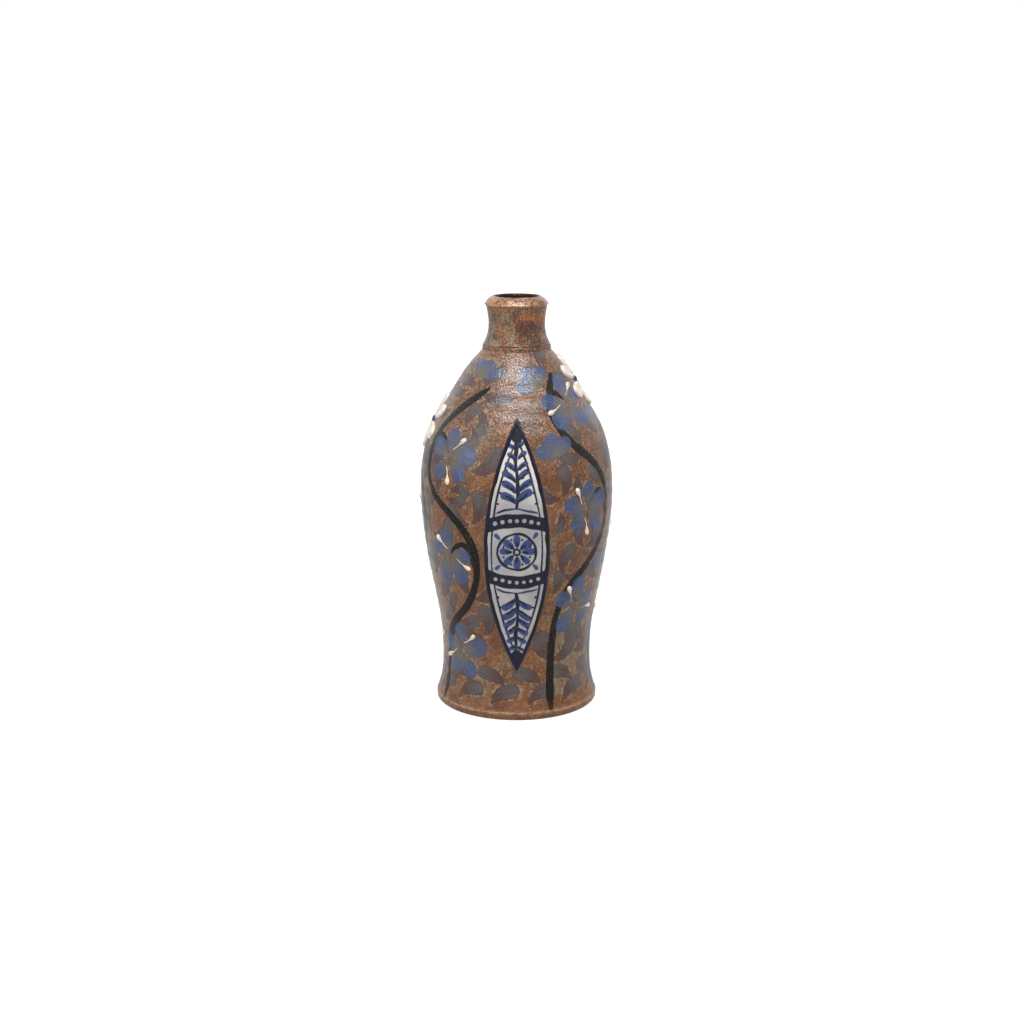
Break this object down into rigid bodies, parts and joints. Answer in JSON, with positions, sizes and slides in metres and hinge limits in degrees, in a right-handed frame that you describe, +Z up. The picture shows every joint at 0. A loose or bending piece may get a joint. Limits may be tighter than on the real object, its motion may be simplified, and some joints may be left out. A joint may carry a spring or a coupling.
{
  "type": "bottle",
  "caption": "Hand-thrown stoneware bottle with a waisted foot, full shoulder, luted neck with bevelled lip, raised slip panels and blossoms, and a dark liner glaze.",
  "frame": {"origin": "on the ground under the bottle's axis, at the plane its foot ring stands on", "axes": "+Z up the bottle's axis towards the mouth, -Y towards the front panel, +X to the viewer's right"},
  "size_m": [0.095, 0.0946, 0.2],
  "materials": {
    "stoneware_body": "gloss",
    "stoneware_neck": "satin",
    "liner_glaze": "gloss",
    "white_slip_panel": "satin",
    "dark_slip_outline": "satin",
    "white_slip_petals": "satin",
    "blue_slip_hearts": "satin",
    "cream_slip_drops": "gloss"
  },
  "bodies": {
    "root": {"body": "stoneware_body", "neck_and_lip": "stoneware_neck", "liner_glaze": "liner_glaze", "panel_fields": "white_slip_panel", "panel_outlines": "dark_slip_outline", "blossom_petals": "white_slip_petals", "blossom_hearts": "blue_slip_hearts", "slip_drops": "cream_slip_drops"}
  },
  "joints": []
}
